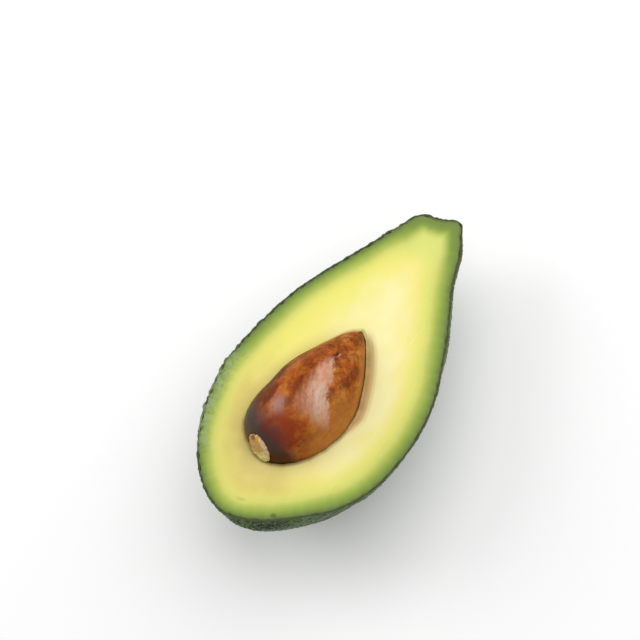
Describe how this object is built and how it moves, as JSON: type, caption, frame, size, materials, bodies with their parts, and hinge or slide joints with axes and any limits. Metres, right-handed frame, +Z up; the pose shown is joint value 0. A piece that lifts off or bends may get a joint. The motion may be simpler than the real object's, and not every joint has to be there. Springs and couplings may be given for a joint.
{
  "type": "avocado half",
  "caption": "Avocado cut in half lengthwise with its seed in place, lying on its pebbled peel with the cut face up.",
  "frame": {"origin": "middle of the small flat spot of the peel that the half rests on, on the resting surface", "axes": "+Z up; +Y along the fruit towards its stem end, level with the surface; +X to the right of the fruit seen from above with the stem end away"},
  "size_m": [0.0681, 0.1176, 0.0463],
  "materials": {
    "peel": "satin",
    "flesh": "satin",
    "seed": "gloss",
    "seed_coat": "matte",
    "stem_scar": "matte"
  },
  "bodies": {
    "root": {"peel": "peel", "flesh": "flesh", "seed": "seed", "seed_coat_scrap": "seed_coat", "stem_scar": "stem_scar"}
  },
  "joints": []
}
